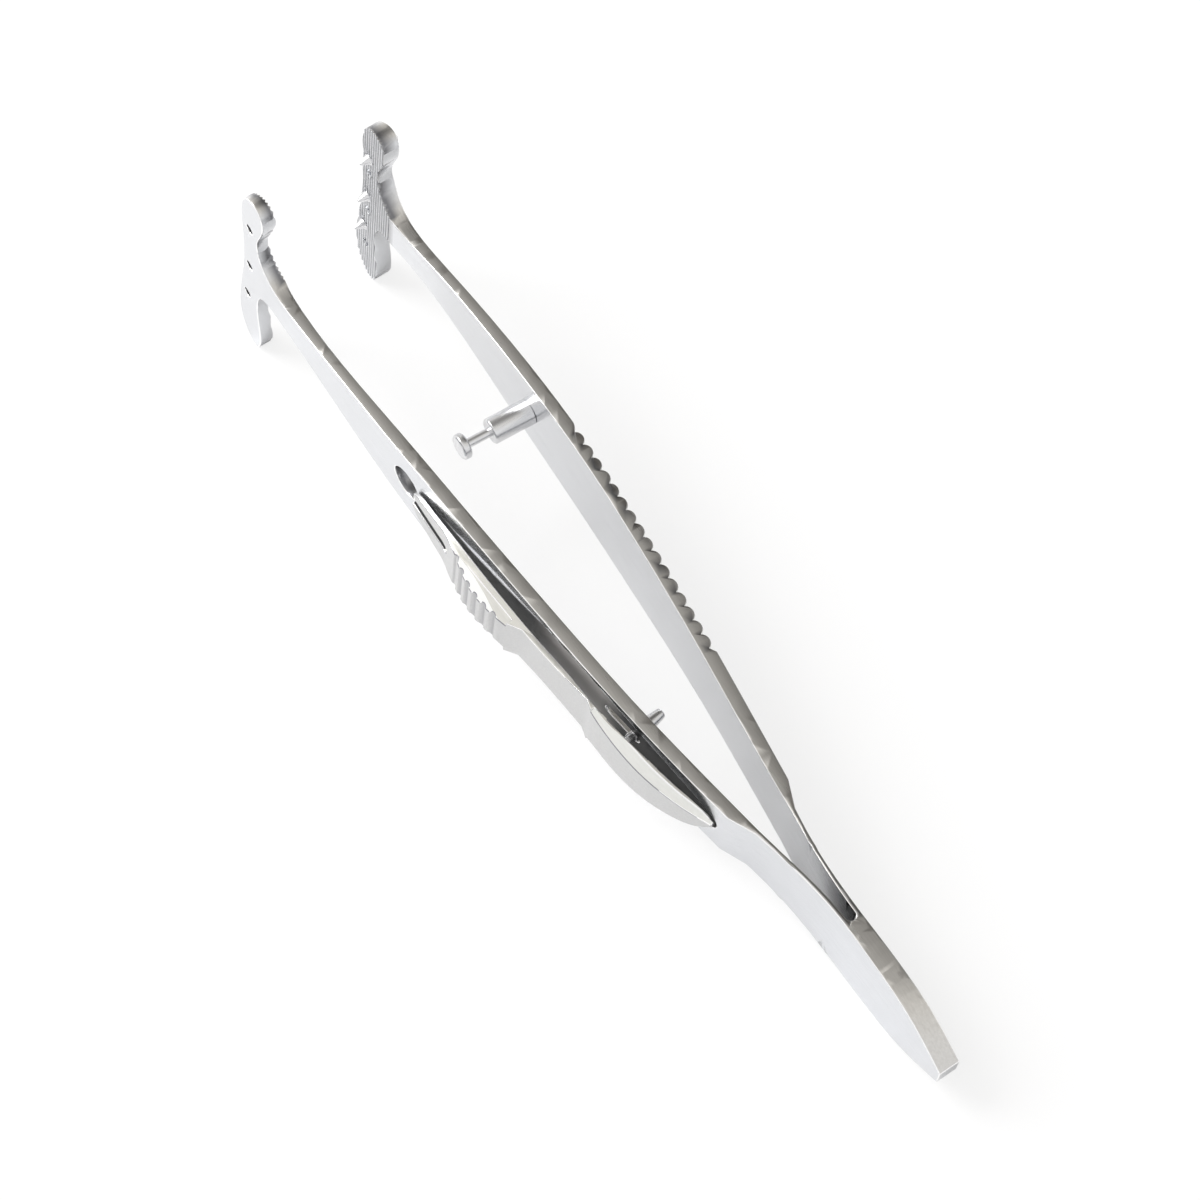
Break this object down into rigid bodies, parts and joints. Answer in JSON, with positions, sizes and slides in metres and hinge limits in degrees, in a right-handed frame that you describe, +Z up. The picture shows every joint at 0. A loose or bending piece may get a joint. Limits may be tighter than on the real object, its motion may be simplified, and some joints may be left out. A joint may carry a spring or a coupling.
{
  "type": "muscle clamp",
  "caption": "Spring forceps clamp with T shaped ridged jaws, interlocking pins and a thumb slide that locks on a headed stud.",
  "frame": {"origin": "middle of the blunt end of the heel", "axes": "+X along the clamp from the heel to the jaws, +Y towards the arm that carries the slide, +Z up along the jaw bars"},
  "size_m": [0.1015, 0.0173, 0.0273],
  "materials": {
    "satin_steel": "satin",
    "slide_steel": "fine matt",
    "bright_steel": "turned and polished"
  },
  "bodies": {
    "heel": {"heel": "satin_steel"},
    "left_arm": {"left_arm": "satin_steel", "left_jaw_pin_top": "bright_steel", "left_jaw_pin_middle": "bright_steel", "left_jaw_pin_bottom": "bright_steel"},
    "right_arm": {"right_arm": "satin_steel", "right_jaw_pin_top": "bright_steel", "right_jaw_pin_middle": "bright_steel", "right_jaw_pin_bottom": "bright_steel", "locking_stud": "bright_steel"},
    "lock_slide": {"lock_slide": "slide_steel", "slide_pin": "bright_steel", "pin_cap": "bright_steel"}
  },
  "joints": [
    {"name": "left_arm_flex", "type": "hinge", "parent": "heel", "child": "left_arm", "pos_m": [0.0225, 0.00132, 0], "axis": [0, 0, 1], "range_deg": [-4.43, 0], "stiffness_Nm_per_rad": 0.8},
    {"name": "right_arm_flex", "type": "hinge", "parent": "heel", "child": "right_arm", "pos_m": [0.0225, -0.00132, 0], "axis": [0, 0, 1], "range_deg": [0, 4.43], "stiffness_Nm_per_rad": 0.8},
    {"name": "lock_slide_travel", "type": "slide", "parent": "left_arm", "child": "lock_slide", "axis": [0.9968, 0.0802, 0], "range_m": [0, 0.003]}
  ]
}
